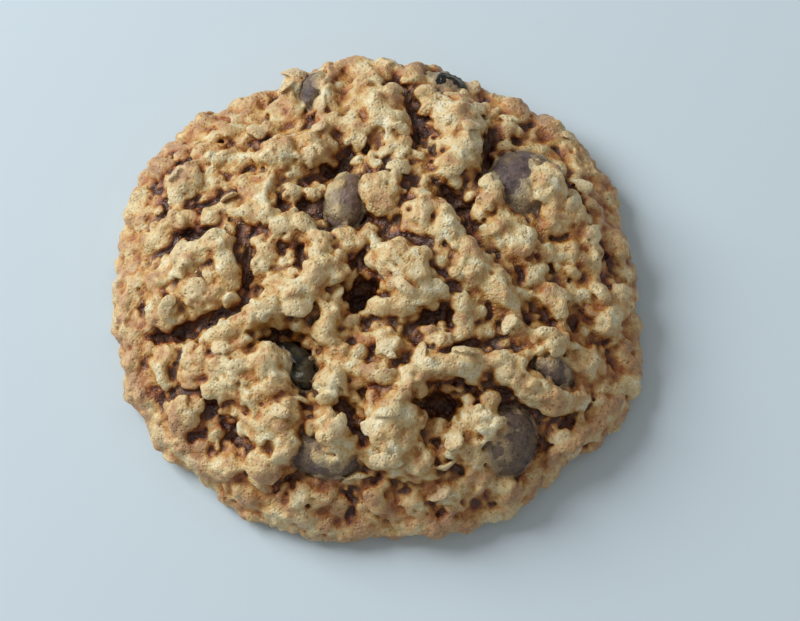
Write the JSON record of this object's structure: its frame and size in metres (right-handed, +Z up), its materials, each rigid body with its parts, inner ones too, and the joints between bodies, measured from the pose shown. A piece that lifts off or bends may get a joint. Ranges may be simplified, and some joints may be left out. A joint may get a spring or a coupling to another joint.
{
  "type": "oatmeal cookie",
  "caption": "Thick round oatmeal cookie with a craggy baked top, chocolate chips and raisins set in the dough, and a flat base.",
  "frame": {"origin": "on the flat base, under the middle of the cookie's outline seen from above", "axes": "+Z up out of the flat base, +X to the right of the cookie as shown and +Y away from the viewer; the long way of the oval is along X"},
  "size_m": [0.0846, 0.0802, 0.0203],
  "materials": {
    "dough": "baked oat dough, matte and crumbly, golden brown, paler on its knobs and darker in its crevices",
    "chocolate": "softened milk chocolate with a dull grey-violet bloom and a thin film of dough",
    "raisin": "wrinkled dark raisin skin with a moist sheen"
  },
  "bodies": {
    "root": {"dough": "dough", "chocolate_chip_north_east": "chocolate", "chocolate_chip_south_east": "chocolate", "chocolate_chip_north": "chocolate", "chocolate_chip_north_west": "chocolate", "chocolate_chip_east": "chocolate", "chocolate_chip_south": "chocolate", "raisin_west": "raisin", "raisin_north": "raisin"}
  },
  "joints": []
}
